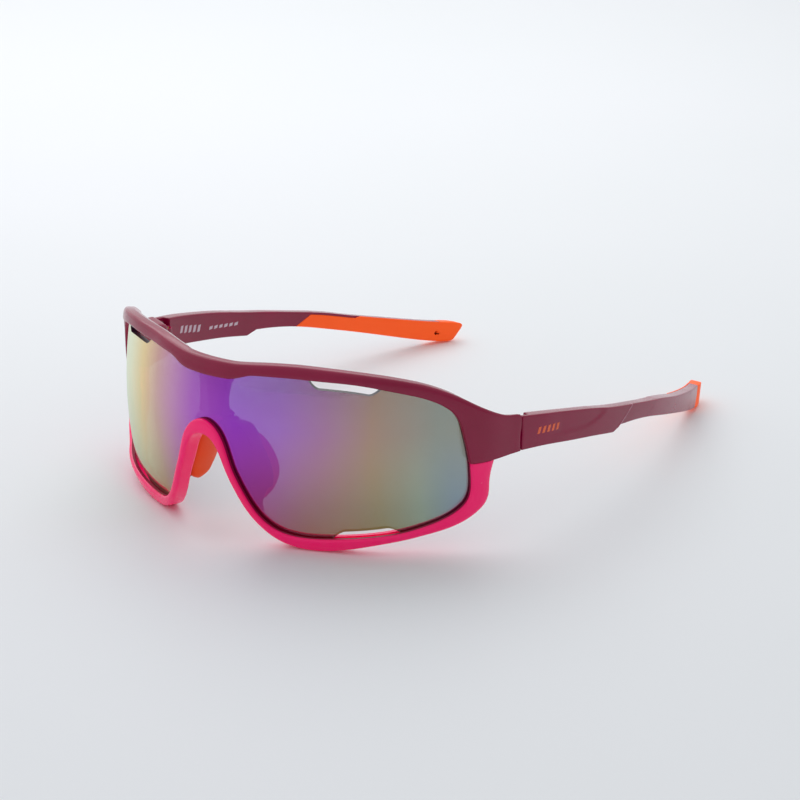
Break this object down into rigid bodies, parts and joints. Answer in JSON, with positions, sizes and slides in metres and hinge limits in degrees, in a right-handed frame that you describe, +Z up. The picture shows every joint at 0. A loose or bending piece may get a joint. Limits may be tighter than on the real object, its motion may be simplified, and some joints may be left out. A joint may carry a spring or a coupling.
{
  "type": "wraparound sport sunglasses",
  "caption": "Wraparound sport sunglasses with a tinted shield lens, two-tone frame, soft nose pads and folding temples with rubber grips.",
  "frame": {"origin": "centre of the bounding box in plan, on the table the open glasses stand on", "axes": "+Z up, the wearer looks along -Y, +X to the wearer's left"},
  "size_m": [0.137, 0.1772, 0.0514],
  "materials": {
    "frame": "satin burgundy with a pale highlight",
    "rim": "glossy translucent pink",
    "lens": "mirrored coat, violet to olive and teal",
    "carrier": "satin burgundy",
    "grip": "matt orange",
    "screw": "plain",
    "insert": "plain"
  },
  "bodies": {
    "front": {"brow_frame": "frame", "lower_rim": "rim", "lens": "lens", "nose_carrier": "carrier", "nose_pad_left": "grip", "nose_pad_right": "grip", "hinge_screw_left": "screw", "hinge_screw_right": "screw", "hinge_insert_left": "insert", "hinge_insert_right": "insert"},
    "temple_left": {"temple_left": "frame", "temple_grip_left": "grip"},
    "temple_right": {"temple_right": "frame", "temple_grip_right": "grip"}
  },
  "joints": [
    {"name": "left_hinge", "type": "hinge", "parent": "front", "child": "temple_left", "pos_m": [0.0622, -0.034, 0.0302], "axis": [0, 0, 1], "range_deg": [0, 86]},
    {"name": "right_hinge", "type": "hinge", "parent": "front", "child": "temple_right", "pos_m": [-0.0622, -0.034, 0.0302], "axis": [0, 0, 1], "range_deg": [-78, 0]}
  ]
}
